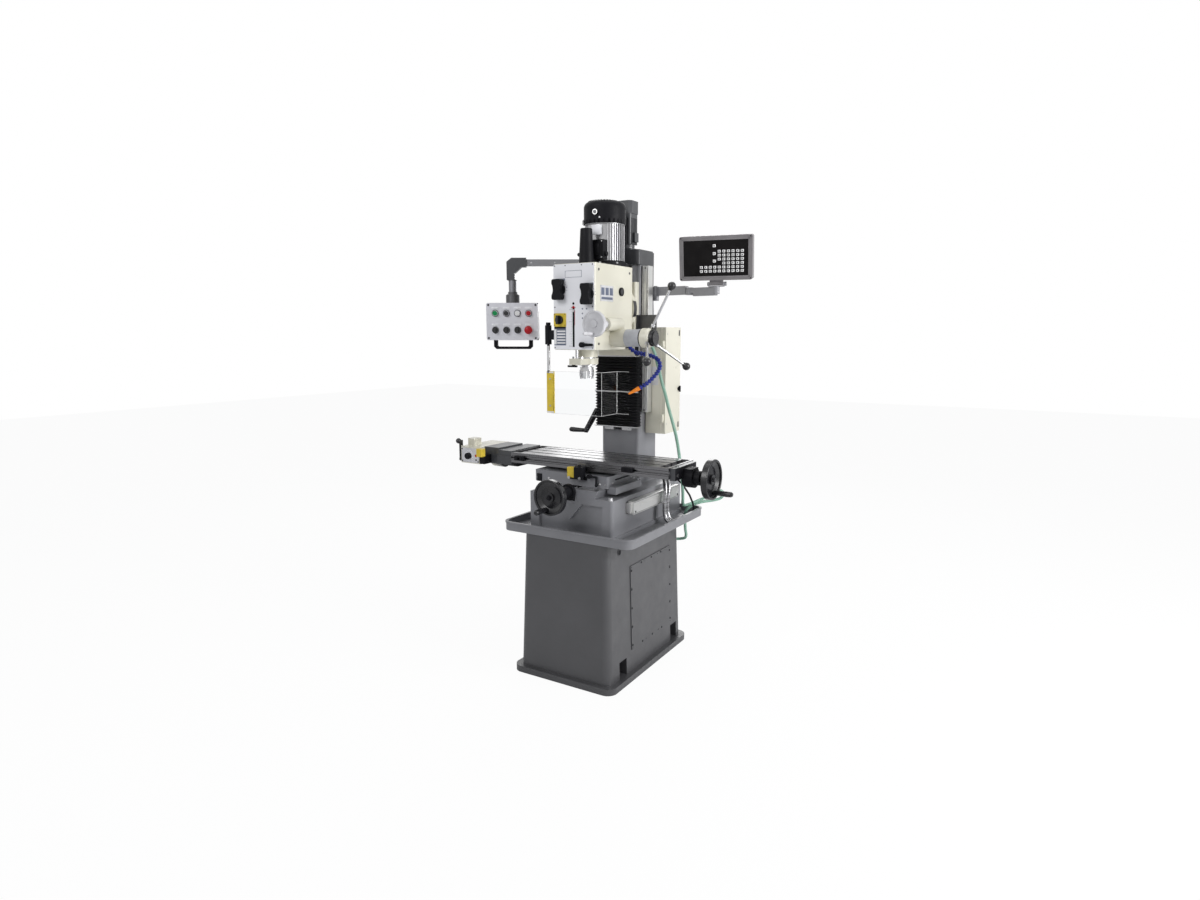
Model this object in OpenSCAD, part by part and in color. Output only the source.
// Geared-head mill drill on a cabinet stand.
// Origin: centre of the underside of the foot. +X is right, +Y is back, +Z is up.

/* [Stand] */
// How far the foot plate stands out beyond the cabinet's sides
foot_lip = 26.5; // [16:0.5:40]
// Depth of the foot plate
foot_d = 742; // [724:1:760]
// Thickness of the foot plate
foot_h = 28; // [20:1:36]
// Corner radius of the foot plate
foot_r = 45; // [30:1:60]
// Width of the cabinet at its bottom
cab_w_low = 462; // [450:1:470]
// Width of the cabinet at its top
cab_w_top = 428; // [410:1:440]
// Depth of the cabinet at its bottom
cab_d_low = 700; // [686:1:708]
// Depth of the cabinet at its top
cab_d_top = 672; // [656:1:684]
// Corner radius of the cabinet
cab_r = 34; // [20:1:45]
// Wall of the cabinet
cab_wall = 8; // [5:1:12]
// Height of the underside of the chip tray
tray_z = 632; // [600:1:660]
// Width of the chip tray
tray_w = 650; // [640:2:660]
// Depth of the chip tray
tray_d = 727; // [700:1:760]
// Height of the tray's rim
tray_h = 40; // [30:1:50]
// Thickness of the tray's wall
tray_wall = 9; // [6:1:12]
// Thickness of the tray's floor
tray_floor = 8; // [6:1:12]
// How far the tray's centre lies behind the foot's centre
tray_back = 23; // [10:1:35]
// Distance across the machine between anchor holes
anchor_x = 400; // [380:2:410]
// Distance from front to back between anchor holes
anchor_y = 490; // [470:2:510]
// Radius of an anchor hole
anchor_r = 8; // [6:0.5:10]

/* [Base and column] */
// Width of the base casting
base_w = 424; // [400:2:440]
// Front of the base casting
base_front = 290; // [270:1:300]
// Back of the base casting
base_back = 366; // [360:1:368]
// Height of the base casting above the tray's floor
base_h = 170; // [150:1:190]
// Width of the way block on top of the base
way_w = 280; // [240:2:300]
// Height of the way block
way_h = 35; // [25:1:45]
// Width of the column
col_w = 200; // [180:2:220]
// Front face of the column
col_front = 140; // [135:1:150]
// Back of the column at its foot
col_back_low = 318; // [300:1:330]
// Back of the column at its top
col_back_top = 262; // [255:1:280]
// Height of the column's top face
col_top = 1795; // [1740:5:1830]
// Height of the cap on the column
cap_h = 66; // [50:1:80]
// Width of the dovetail on the column
rail_w = 144; // [120:2:160]
// How far the dovetail stands out of the column
rail_d = 22; // [16:1:26]

/* [Table] */
// Length of the table
table_l = 798; // [760:2:840]
// Width of the table
table_w = 240; // [220:2:260]
// Thickness of the table
table_h = 47; // [40:1:54]
// Where the table's centre stands along X
table_x = 24; // [-40:1:60]
// Where the table's centre stands along Y
table_y = -85; // [-95:1:-75]
// Height of the saddle
saddle_h = 65; // [55:1:75]
// Width of the table slots
slot_w = 12; // [10:1:14]
// Distance between the table slots
slot_gap = 64; // [56:1:70]
// Radius of the table handwheel
x_wheel_r = 84; // [70:1:90]
// Radius of the cross handwheel
y_wheel_r = 75; // [65:1:85]
// Height of the cross screw above the floor
y_screw_z = 831; // [828:1:834]
// How far the cross handwheel stands before the base
y_wheel_out = 127; // [110:1:150]

/* [Head] */
// Width of the head
head_w = 202; // [190:2:216]
// Front face of the head casting
head_front = 247; // [240:1:256]
// Bottom of the head casting
head_z = 1424; // [1415:1:1435]
// Height of the head casting
head_h = 352; // [330:1:370]
// Distance of the spindle before the machine's centre
spindle_y = 150; // [140:1:160]
// Radius of the quill
quill_r = 37.5; // [32:0.5:42]
// Radius of the stop collar on the quill
collar_r = 50; // [46:1:56]
// Radius of the bore in the spindle
spindle_bore = 15.6; // [12:0.1:18]
// Radius of the motor's fan cover
fan_r = 91; // [86:0.5:96]
// Radius of the motor's body
motor_r = 86; // [78:1:88]
// Top of the fan cover
motor_top = 2050; // [2020:1:2080]
// Distance of the feed hub before the machine's centre
hub_y = 95; // [90:1:104]
// Height of the feed hub
hub_z = 1473; // [1465:1:1480]
// Length of the hub's spokes from the axis to the ball
spoke_l = 210; // [180:1:230]
// Radius of the fine-feed wheel
fine_r = 53; // [45:1:58]
// Height of the fine-feed wheel
fine_z = 1530; // [1525:1:1536]

/* [Guard and controls] */
// Width of the clear guard's front
guard_w = 249; // [220:1:280]
// Height of the clear guard
guard_h = 180; // [150:1:200]
// Thickness of the clear sheet
guard_t = 3; // [2:0.5:5]
// Width of the pendant box
pend_w = 240; // [220:2:260]
// Height of the pendant box
pend_h = 172; // [160:1:184]
// Depth of the pendant box
pend_d = 92; // [80:1:110]
// Angle of the pendant's arm to the front
pend_yaw = 31; // [25:1:35]
// Length of the pendant's arm
pend_arm = 408; // [370:1:430]
// Width of the readout
dro_w = 312; // [290:2:330]
// Height of the readout
dro_h = 184; // [170:1:200]
// Depth of the readout
dro_d = 44; // [36:1:54]
// Angle of the readout to the front
dro_yaw = 12; // [5:1:20]
// Forward lean of the readout
dro_lean = 9; // [0:1:12]

/* [Hidden] */
$fn = 64;
fit = 0.05;
gap = 0.3;
big = 3000;

// Colours
grey = [0.36, 0.37, 0.39];
dark = [0.22, 0.23, 0.25];
black = [0.07, 0.07, 0.08];
cream = [0.93, 0.91, 0.83];
white = [0.93, 0.94, 0.95];
steel = [0.72, 0.73, 0.74];
yellow = [0.90, 0.76, 0.12];

// Derived sizes, from the floor up
foot_w = cab_w_low + 2 * foot_lip;
tray_in = tray_z + tray_floor;
base_top = tray_in + base_h;
way_top = base_top + way_h;
table_z = way_top + saddle_h;
table_top = table_z + table_h;
table_front = table_y - table_w / 2;
table_left = table_x - table_l / 2;
table_right = table_x + table_l / 2;
head_top = head_z + head_h;
head_back = 74;
head_side = head_w / 2;
plate_t = 3;
plate_face = head_front + plate_t;

// Flat outlines
module rounded(w, d, r) {
  union() {
    square([w - 2 * r, d], center = true);
    square([w, d - 2 * r], center = true);
    for (x = [-1, 1]) for (y = [-1, 1])
      translate([x * (w / 2 - r), y * (d / 2 - r)]) circle(r = r);
  }
}

module slab(w, d, h, r) {
  linear_extrude(height = h) rounded(w, d, r);
}

// Solids laid along an axis, starting at the origin
module rod_x(r, l) { rotate([0, 90, 0]) cylinder(r = r, h = l); }
module rod_y(r, l) { rotate([-90, 0, 0]) cylinder(r = r, h = l); }
module rod_front(r, l) { rotate([90, 0, 0]) cylinder(r = r, h = l); }

// A plate standing in the X-Z plane that reaches from the origin to the front
module front_slab(w, h, t, r) {
  rotate([90, 0, 0]) linear_extrude(height = t) rounded(w, h, r);
}

// Stand

module cabinet_form(inset, top_add) {
  hull() {
    translate([0, 0, foot_h - 0.5 + inset])
      slab(cab_w_low - 2 * inset, cab_d_low - 2 * inset, 1, cab_r - inset * 0.7, $fn = 32);
    translate([0, cab_y_top, tray_z - 1 + top_add])
      slab(cab_w_top - 2 * inset, cab_d_top - 2 * inset, 1, cab_r - inset * 0.7, $fn = 32);
  }
}
cab_y_top = 2;
cab_slope = (cab_w_low - cab_w_top) / 2 / (tray_z - foot_h);

// Half the cabinet's width at a height
function cab_half(z) = cab_w_low / 2 - (z - foot_h) * cab_slope;

anchor_back = 20;
niche_w = 62;
niche_h = 74;
niche_in = 74;
panel_y0 = -150;
panel_y1 = 236;
panel_z0 = 120;
panel_z1 = 500;
panel_t = 3;
panel_lap = 14;

module niche_block(grow) {
  for (x = [-1, 1]) for (y = [-1, 1])
    translate([x * (cab_w_low / 2 - niche_in / 2 + 3.5), anchor_back + y * anchor_y / 2, foot_h])
      translate([-niche_in / 2 - grow, -niche_w / 2 - grow, -0.5])
        cube([niche_in + 2 * grow, niche_w + 2 * grow, niche_h + grow + 0.5]);
}

module stand_cabinet() {
  color(dark) difference() {
    union() {
      slab(foot_w, foot_d, foot_h, foot_r);
      difference() {
        cabinet_form(0, 0);
        cabinet_form(cab_wall, 1 - cab_wall);
      }
      intersection() {
        cabinet_form(0, 0);
        niche_block(5);
      }
    }
    // Pockets in the side walls, through which the anchor bolts are reached
    niche_block(0);
    for (x = [-1, 1]) for (y = [-1, 1])
      translate([x * anchor_x / 2, anchor_back + y * anchor_y / 2, -1])
        cylinder(r = anchor_r, h = foot_h + 2);
    // Opening behind the access panel
    translate([0, panel_y0 + panel_lap, panel_z0 + panel_lap])
      cube([foot_w, panel_y1 - panel_y0 - 2 * panel_lap, panel_z1 - panel_z0 - 2 * panel_lap]);
    // Pipe holes under the tray
    for (h = pipe_holes) translate([0, h[0], tray_z - h[1]]) rod_x(h[2], foot_w);
    // Hole in the back for the coolant hose
    translate([hose_route[len(hose_route) - 1][0], 0, hose_route[len(hose_route) - 1][2]])
      rod_y(9, cab_d_low);
  }
}
// Place of each pipe hole along Y, its depth below the tray and its radius
pipe_holes = [[-238, 48, 12], [236, 40, 9]];

// Flat panel that follows the slope of the cabinet's side
module access_panel() {
  tilt = atan(cab_slope);
  color(grey) translate([cab_half(panel_z0) + gap, (panel_y0 + panel_y1) / 2, panel_z0])
    rotate([0, -tilt, 0]) difference() {
      translate([0, 0, (panel_z1 - panel_z0) / 2]) rotate([0, 90, 0])
        slab(panel_z1 - panel_z0, panel_y1 - panel_y0, panel_t, 6);
      for (p = panel_holes()) translate([-1, p[0], p[1]]) rod_x(2.6, panel_t + 2);
    }
}

// Screw places round the panel's edge: five up each side and two more along top and bottom
function panel_holes() =
  let (w = panel_y1 - panel_y0 - 16, h = panel_z1 - panel_z0 - 16)
  concat(
    [for (i = [0 : 4]) for (s = [-1, 1]) [s * w / 2, 8 + h * i / 4]],
    [for (i = [1 : 2]) for (s = [0, 1]) [w * (i / 3 - 0.5), 8 + h * s]]
  );

module chip_tray() {
  color(dark) translate([0, tray_back, tray_z]) difference() {
    union() {
      slab(tray_w, tray_d, tray_h, 42);
      translate([0, 0, tray_h - 8]) slab(tray_w + 6, tray_d + 6, 8, 45);
      translate([tray_w / 2 - 70, tray_d / 2 - 60, -drain_h]) cylinder(r = 16, h = drain_h + 1);
    }
    translate([0, 0, tray_floor])
      slab(tray_w - 2 * tray_wall, tray_d - 2 * tray_wall, tray_h, 42 - tray_wall);
    // Drain at the back right corner, through which the coolant hose comes up
    translate([tray_w / 2 - 70, tray_d / 2 - 60, -drain_h - 1])
      cylinder(r = 12, h = drain_h + tray_floor + 2);
  }
}

drain_h = 20;

// Base casting

boss_r = 24;
boss_x = base_w / 2 - boss_r;
bolt_y = [-base_front + 26, base_back - 26];

module machine_base() {
  color(grey) difference() {
    union() {
      translate([0, (base_back - base_front) / 2, tray_in]) {
        slab(base_w, base_back + base_front, base_h, 14);
        slab(base_w + 20, base_back + base_front + 1, 16, 18);
      }
      // Way block with undercut sides
      translate([0, col_front + 20, base_top - 1]) rotate([90, 0, 0])
        linear_extrude(height = base_front + col_front + 20)
          polygon([[-way_w / 2 + 14, 0], [way_w / 2 - 14, 0],
                   [way_w / 2, way_h + 1], [-way_w / 2, way_h + 1]]);
      // Pad that carries the column
      translate([0, (col_front - 12 + base_back) / 2, base_top - 1])
        slab(col_w + 56, base_back - col_front + 12, way_h + 1, 12);
    }
    // Trough for the cross screw and its nut
    translate([-y_trough / 2, -base_front - 1, base_top - 18])
      cube([y_trough, base_front + col_front - 20, way_h + 40]);
    // Recessed front face between the corner bosses
    translate([0, -base_front - 1, tray_in + 16]) mirror([0, 1, 0]) rotate([90, 0, 0])
      linear_extrude(height = 17)
        polygon([[-boss_x + 30, 0], [boss_x - 30, 0], [boss_x - 24, base_h - 44],
                 [60, base_h - 44], [0, base_h - 118], [-60, base_h - 44],
                 [-boss_x + 24, base_h - 44]]);
    // Recess in the right side behind the measuring scale
    translate([base_w / 2 - 8, y_scale_y0 - 13, y_scale_z - 26])
      cube([9, y_scale_l + 26, 52]);
    // Hold-down bolt holes in the corners
    for (x = [-1, 1]) for (y = bolt_y)
      translate([x * boss_x, y, base_top - 30]) cylinder(r = 8, h = 31);
  }
  color(steel) for (x = [-1, 1]) for (y = bolt_y)
    translate([x * boss_x, y, base_top - 30]) {
      cylinder(r = 8, h = 31);
      translate([0, 0, 30]) cylinder(r = 13, h = 2.5);
      translate([0, 0, 32]) cylinder(r = 10, h = 8, $fn = 6);
    }
}
y_trough = 56;
y_scale_z = 762;
y_scale_y0 = -165;
y_scale_l = 440;

module y_bearing() {
  color(black) difference() {
    translate([0, -base_front, y_screw_z]) {
      rod_front(y_bear_r, 16);
      rod_front(24, 44);
    }
    translate([0, -base_front + 1, y_screw_z]) rod_front(y_shaft_r + fit, 60);
  }
}
y_bear_r = 34;
y_shaft_r = 11;

// Column with a back that leans in, carrying a dovetail on its front

module column() {
  foot_z = way_top;
  color(grey) difference() {
    union() {
      intersection() {
        translate([0, 0, foot_z]) linear_extrude(height = col_top - foot_z)
          translate([0, (col_front + col_back_low) / 2])
            rounded(col_w, col_back_low - col_front, 16);
        rotate([90, 0, 90]) translate([0, 0, -col_w / 2]) linear_extrude(height = col_w)
          polygon([[col_front, foot_z], [col_back_low, foot_z],
                   [col_back_low, foot_z + 170], [col_back_top, col_top],
                   [col_front, col_top]]);
      }
      // Flared foot
      translate([0, (col_front - 6 + col_back_low + 22) / 2, foot_z])
        slab(col_w + 44, col_back_low - col_front + 28, 26, 18);
      translate([0, (col_front - 3 + col_back_low + 11) / 2, foot_z + 26])
        slab(col_w + 22, col_back_low - col_front + 14, 22, 17);
      // Dovetail, narrow where it meets the column
      translate([0, 0, rail_z0]) linear_extrude(height = col_top - rail_z0)
        dovetail(0);
    }
    // Channel for the lifting screw
    translate([-22, col_front - rail_d - 1, rail_z0 - 1])
      cube([44, rail_d + 32, col_top]);
    // Gear chamber at the crank
    translate([-36, col_front - rail_d - 1, crank_z - 34]) cube([72, rail_d + 46, 68]);
    translate([-col_w / 2 - 1, screw_y, crank_z]) rod_x(crank_shaft_r + fit, col_w / 2);
  }
}
rail_z0 = 1050;
screw_y = col_front + 8;
crank_z = 1128;
crank_shaft_r = 9;

// Plan of the dovetail, grown outward by a clearance
module dovetail(grow) {
  polygon([[-rail_w / 2 + 12 - grow, col_front + 1], [rail_w / 2 - 12 + grow, col_front + 1],
           [rail_w / 2 + grow, col_front - rail_d - grow],
           [-rail_w / 2 - grow, col_front - rail_d - grow]]);
}

module column_cap() {
  color(dark) {
    translate([0, 0, col_top]) difference() {
      union() {
        translate([0, (col_front - rail_d + col_back_top + 4) / 2, 0])
          slab(col_w + 14, col_back_top - col_front + rail_d + 4, cap_h - 6, 10);
        translate([0, (col_front - rail_d + col_back_top + 4) / 2, cap_h - 6])
          slab(col_w + 6, col_back_top - col_front + rail_d - 4, 6, 8);
      }
      translate([0, screw_y, -1]) cylinder(r = z_screw_r + fit, h = 31);
    }
    // Lug and pin that carry the pendant's arm
    translate([-col_w / 2 - 7 - 12, pend_pivot[1] - 30, col_top - 30])
      cube([12.5, 60, cap_h + 24]);
    translate([pend_pivot[0], pend_pivot[1], col_top - 22]) cylinder(r = 22, h = 20);
    translate([pend_pivot[0], pend_pivot[1] - 22, col_top - 22])
      cube([-col_w / 2 - 8 - pend_pivot[0], 44, 20]);
    translate([pend_pivot[0], pend_pivot[1], col_top - 3]) cylinder(r = pend_pin_r, h = 46);
    // Bracket and pin that carry the readout's arm
    translate([col_w / 2 + gap, dro_pivot[1] - 24, dro_arm_z - 42])
      cube([6, 44, col_top - dro_arm_z + 43]);
    translate([col_w / 2 + 4, dro_pivot[1] - 15, dro_arm_z - 42])
      cube([dro_pivot[0] - col_w / 2 - 4, 30, 20]);
    translate([dro_pivot[0], dro_pivot[1], dro_arm_z - 42]) cylinder(r = 15, h = 20);
    translate([dro_pivot[0], dro_pivot[1], dro_arm_z - 24]) cylinder(r = dro_pin_r, h = 48);
  }
}
pend_pivot = [-142, 188];
pend_pin_r = 9;
dro_pin_r = 8;
pend_arm_z = col_top + 8;
dro_pivot = [128, 238];
dro_arm_z = 1682;

module lift_motor() {
  z0 = col_top + cap_h;
  color(dark) translate([0, lift_y, 0]) {
    translate([0, 0, z0]) slab(100, 100, 10, 12);
    translate([0, 0, z0 + 10]) cylinder(r = 36, h = 20);
    translate([0, 0, z0 + 30]) difference() {
      slab(lift_w, lift_w, lift_h, 14);
      for (a = [0 : 90 : 270]) for (i = [-2 : 2])
        rotate([0, 0, a]) translate([i * 12 - 3, lift_w / 2 - 4, -1]) cube([6, 6, lift_h - 18]);
    }
    // Cable box on the right side
    translate([lift_w / 2, -17, z0 + 40]) cube([13, 34, 40]);
    // Fan cover with bevelled corners
    translate([0, 0, z0 + 30 + lift_h]) linear_extrude(height = 56)
      polygon([[-41, -28], [-28, -41], [28, -41], [41, -28],
               [41, 28], [28, 41], [-28, 41], [-41, 28]]);
  }
}
lift_y = 196;
lift_w = 76;
lift_h = 134;

// Measuring scales

module z_scale() {
  color(steel) difference() {
    translate([col_w / 2 + 5, col_front + 10, z_scale_z0]) cube([32, 42, col_top - 5 - z_scale_z0]);
    translate([col_w / 2 + 12, col_front + 9, z_scale_z0 - 1]) cube([4, 6, col_top]);
    translate([col_w / 2 + 26, col_front + 9, z_scale_z0 - 1]) cube([4, 6, col_top]);
  }
  // Seats that hold the bar to the column
  color(steel) for (z = [z_scale_z0 + 60, (z_scale_z0 + col_top) / 2, col_top - 70])
    translate([col_w / 2 + gap, col_front + 16, z]) cube([5, 30, 40]);
}
z_scale_z0 = 1135;

module y_scale() {
  color(steel) {
    difference() {
      translate([base_w / 2 + 2, y_scale_y0, y_scale_z - 28]) cube([30, y_scale_l, 56]);
      translate([base_w / 2 + 31, y_scale_y0 - 1, y_scale_z + 8]) cube([2, y_scale_l + 2, 4]);
    }
    // End bracket and back seats
    for (y = [y_scale_y0 - 11, y_scale_y0 + y_scale_l - 3])
      translate([base_w / 2 - 8 + gap, y, y_scale_z - 22]) cube([30, 14, 44]);
  }
}

// Electric box on the column's right side

box_x0 = col_w / 2 + 2;
box_x1 = 184;
box_y0 = 195;
box_y1 = 352;
box_z0 = 1035;
box_h = 485;
door_t = 20;
hinge_z = [60, box_h - 90];
hinge_r = 3;

module electric_box() {
  color(cream) difference() {
    union() {
      translate([box_x0 + 3, box_y0, box_z0]) cube([box_x1 - box_x0 - 3, box_y1 - box_y0, box_h]);
      translate([col_w / 2 + gap, box_y0 + 20, box_z0 + 30]) cube([6, 60, box_h - 60]);
    }
    translate([box_x0 + 6, box_y0 + 3, box_z0 + 3])
      cube([box_x1, box_y1 - box_y0 - 6, box_h - 6]);
  }
  // Contactors and terminal row on the back plate
  color(steel) translate([box_x0 + 5.5, box_y0 + 24, box_z0 + 60]) cube([4, 110, 360]);
  color(black) for (i = [0 : 2])
    translate([box_x0 + 9, box_y0 + 38, box_z0 + 110 + i * 95]) cube([52, 72, 70]);
  // Hinge pins
  color(steel) for (z = hinge_z) {
    translate([box_x1 + 10, box_y0 - 6, box_z0 + z]) cylinder(r = hinge_r, h = 30);
    translate([box_x1 - 6, box_y0 - 8, box_z0 + z - 8]) cube([19, 8.5, 8]);
  }
}

module electric_door() {
  color(cream) difference() {
    union() {
      translate([box_x1 + gap, box_y0 + 2, box_z0]) cube([door_t, box_y1 - box_y0 - 2, box_h]);
      for (z = hinge_z) translate([box_x1 + 10, box_y0 - 6, box_z0 + z + gap]) {
        cylinder(r = 6, h = 29);
        translate([-5, 0, 0]) cube([10, 10, 29]);
      }
    }
    translate([box_x1 - 1, box_y0 + 6, box_z0 + 4])
      cube([door_t - 2, box_y1 - box_y0 - 10, box_h - 8]);
    for (z = hinge_z)
      translate([box_x1 + 10, box_y0 - 6, box_z0 + z - 1]) cylinder(r = hinge_r + fit, h = 34);
  }
  // Latch near the back edge
  color(black) translate([box_x1 + door_t, box_y1 - 18, box_z0 + 200]) {
    rod_x(9, 6);
    translate([5.5, -4, -14]) cube([6, 8, 28]);
  }
}

// Folded cover in front of the dovetail

bel_w = 226;
bel_front = 100;
bel_z0 = 1066;
bel_z1 = 1392;
bel_folds = 24;

// Saw-tooth edge of the folds along the height, from one side
function folds(base, depth) =
  let (p = (bel_z1 - bel_z0) / bel_folds)
  [for (i = [0 : 2 * bel_folds]) [base - (i % 2 == 0 ? 0 : depth), bel_z0 + i * p / 2]];

module z_bellows() {
  color(black) difference() {
    intersection() {
      rotate([90, 0, 90]) translate([0, 0, -bel_w / 2]) linear_extrude(height = bel_w)
        polygon(concat([[col_front - 4, bel_z0]], folds(bel_front + 7, 7),
                       [[col_front - 4, bel_z1]]));
      translate([0, col_front, 0]) rotate([90, 0, 0]) linear_extrude(height = 60)
        polygon(concat(folds(-bel_w / 2 + 6, 6),
                       [for (p = folds(0, 6)) [bel_w / 2 - 6 - p[0], bel_z0 + bel_z1 - p[1]]]));
    }
    translate([-rail_w / 2 - 3, bel_front + 12, bel_z0 - 1])
      cube([rail_w + 6, 60, bel_z1 - bel_z0 + 2]);
  }
  // Metal strips at the ends and the middle
  color(steel) for (z = [bel_z0, (bel_z0 + bel_z1) / 2 - 1.5, bel_z1 - 3])
    translate([-bel_w / 2 + 1, bel_front - 1.5, z]) cube([bel_w - 2, 9, 3]);
  // Foot plate that holds the lower end to the column
  color(steel) difference() {
    translate([-bel_w / 2 + 4, bel_front + 6, bel_z0])
      cube([bel_w - 8, col_front - gap - bel_front - 6, 3]);
    translate([0, 0, bel_z0 - 1]) linear_extrude(height = 5) dovetail(gap);
  }
}

// Cords: a tube swept along points chosen by hand

function bend(p0, p1, p2, p3, t) =
  0.5 * (2 * p1 + (p2 - p0) * t + (2 * p0 - 5 * p1 + 4 * p2 - p3) * t * t
         + (3 * p1 - p0 - 3 * p2 + p3) * t * t * t);

// Points along the smooth curve through a route, a given number for each stretch
function smooth(r, n) =
  let (m = len(r) - 1)
  concat(
    [for (i = [0 : m - 1]) for (k = [0 : n - 1])
      bend(r[max(i - 1, 0)], r[i], r[i + 1], r[min(i + 2, m)], k / n)],
    [r[m]]);

function unit(v) = v / norm(v);

// Direction at one point of a path
function heading(p, i) = unit(p[min(i + 1, len(p) - 1)] - p[max(i - 1, 0)]);

// Sideways vector carried along the path without twist
function carried(p, n, i = 0, s = []) =
  i == len(p) ? s :
  let (t = heading(p, i),
       a = i == 0 ? n : s[i - 1],
       b = unit(a - t * (a * t)))
  carried(p, n, i + 1, concat(s, [b]));

module tube(path, r, sides, side) {
  n = len(path);
  u = carried(path, side);
  pts = [for (i = [0 : n - 1])
    let (t = heading(path, i), v = cross(t, u[i]))
    for (k = [0 : sides - 1])
      path[i] + r * (u[i] * cos(360 * k / sides) + v * sin(360 * k / sides))];
  quads = [for (i = [0 : n - 2]) for (k = [0 : sides - 1])
    let (a = i * sides + k, b = i * sides + (k + 1) % sides)
    each [[a, a + sides, b], [b, a + sides, b + sides]]];
  ends = [[for (k = [0 : sides - 1]) k],
          [for (k = [sides - 1 : -1 : 0]) (n - 1) * sides + k]];
  polyhedron(points = pts, faces = concat(quads, ends));
}

// How far the sides of tray and base lie from where the routes below were laid out
tray_shift = tray_w / 2 - 325;
base_shift = base_w / 2 - 212;
hose_d = 14;
hose_route = [
  [146, 115, 1450], [160, 114, 1449], [176, 112, 1436], [190, 112, 1410], [202, 114, 1370],
  [212, 120, 1325], [222, 128, 1275], [236, 136, 1220], [250, 142, 1160], [268, 148, 1095],
  [282, 158, 1030], [290, 170, 960], [295, 184, 880], [297, 200, 800], [292, 218, 745],
  [280, 244, 708], [272, 282, 691], [280, 326, 690], [302, 364, 700], [334, 394, 716],
  [364, 420, 735], [386, 444, 744], [397, 456, 726], [382, 450, 705], [352, 424, 696],
  [318, 388, 692], [286, 354, 682], [264 + tray_shift, 334, 662],
  [255 + tray_shift, 326.5, 638], [255 + tray_shift, 327, 600], [254 + tray_shift, 334, 560],
  [250, 352, 528], [236, 370, 506], [208, 376, 496], [186, 366, 494],
  [178, 352, 494], [178, 339.7, 494]
];
conduit_d = 19;
conduit_a = [
  [112, 178, 908], [128, 178, 907], [160, 170, 900], [200, 150, 884], [234, 128, 856],
  [254 + base_shift, 108, 820], [262 + base_shift, 96, 780], [262 + base_shift, 90, 736],
  [264 + tray_shift, 88, 700], [270 + tray_shift, 86, 672], [286 + tray_shift, 84, 655], [304 + tray_shift, 83, 652]
];
conduit_b = [
  [112, 206, 908], [130, 205, 907], [166, 197, 900], [208, 178, 882], [242, 154, 852],
  [262 + base_shift, 132, 814], [266 + base_shift, 118, 776], [266 + base_shift, 110, 736],
  [268 + tray_shift, 109, 702], [274 + tray_shift, 107, 676], [287 + tray_shift, 106, 658], [304 + tray_shift, 105, 654]
];
cable_d = 9;
cable_route = [
  [110, 250, 908], [126, 250, 907], [168, 256, 884], [212, 268, 836],
  [256 + base_shift, 286, 790], [288 + tray_shift, 300, 738], [303 + tray_shift, 309, 696], [306 + tray_shift, 311, 668],
  [306 + tray_shift, 311, 653]
];

module coolant_hose() {
  color([0.45, 0.72, 0.60]) tube(smooth(hose_route, 3), hose_d / 2, 10, [0, 1, 0]);
}

module conduits() {
  color(steel) for (route = [conduit_a, conduit_b]) {
    tube(smooth(route, 2), conduit_d / 2, 10, [0, 1, 0]);
    // Gland nuts on the column and on the tray's wall
    translate([col_w / 2 + gap, route[0][1], route[0][2]])
      rod_x(conduit_d / 2 + 3, route[0][0] - col_w / 2 - gap, $fn = 6);
    translate(route[len(route) - 1])
      rod_x(11, tray_w / 2 - tray_wall - gap - route[len(route) - 1][0]);
  }
  color(black) {
    tube(smooth(cable_route, 1), cable_d / 2, 10, [0, 1, 0]);
    translate([col_w / 2 + gap, cable_route[0][1], cable_route[0][2]])
      rod_x(cable_d / 2 + 3, cable_route[0][0] - col_w / 2 - gap);
    translate([306 + tray_shift, 311, tray_in + gap])
      cylinder(r = cable_d / 2 + 3, h = 653 - tray_in - gap);
  }
}

// Handwheels: a dished disc with a rounded rim, turned about Z and facing up

module wheel_form(r, w, hub_r, bore) {
  rotate_extrude() {
    translate([r - 5, w / 2]) rounded(10, w, 3.5);
    polygon([[hub_r - 2, 4], [r - 26, 1], [r - 7, w * 0.45], [r - 7, w * 0.75],
             [r - 28, 9], [hub_r - 2, 12]]);
    translate([bore, 0]) square([hub_r - bore, w * 0.8]);
  }
}

// Turned handle that stands on a wheel
module grip_form(l, r) {
  rotate_extrude() {
    square([r * 0.45, l * 0.2]);
    polygon([[0, l * 0.1], [r * 0.8, l * 0.1], [r * 0.86, l * 0.3], [r, l * 0.75],
             [r * 0.92, l * 0.93], [r * 0.6, l], [0, l]]);
  }
}

module y_handwheel() {
  color(black) translate([0, -base_front - y_wheel_out, y_screw_z]) rotate([90, 0, 0]) {
    wheel_form(y_wheel_r, 26, 20, y_shaft_r + fit);
    rotate([0, 0, 250]) translate([y_wheel_r - 20, 0, 8]) grip_form(84, 12);
  }
}

module y_screw() {
  y_end = -base_front - y_wheel_out;
  color(steel) translate([0, y_end - 21, y_screw_z]) {
    rod_y(y_shaft_r, 26);
    translate([0, 25, 0]) rod_y(y_shaft_r, y_wheel_out + base_front + col_front - 60);
    // Graduated dial and its clamp ring
    translate([0, 24, 0]) rod_y(22, 26);
    translate([0, 50, 0]) rod_y(31, 26);
    translate([0, 76, 0]) rod_y(24, y_wheel_out + 21 - 76 - 44 - gap);
    // Nut on the shaft's end
    translate([0, -8, 0]) rod_y(9, 9, $fn = 6);
  }
}

// Saddle

sad_x0 = -225;
sad_x1 = 152;
sad_front = 226;
sad_back = 18;
table_rail = 130;

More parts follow.
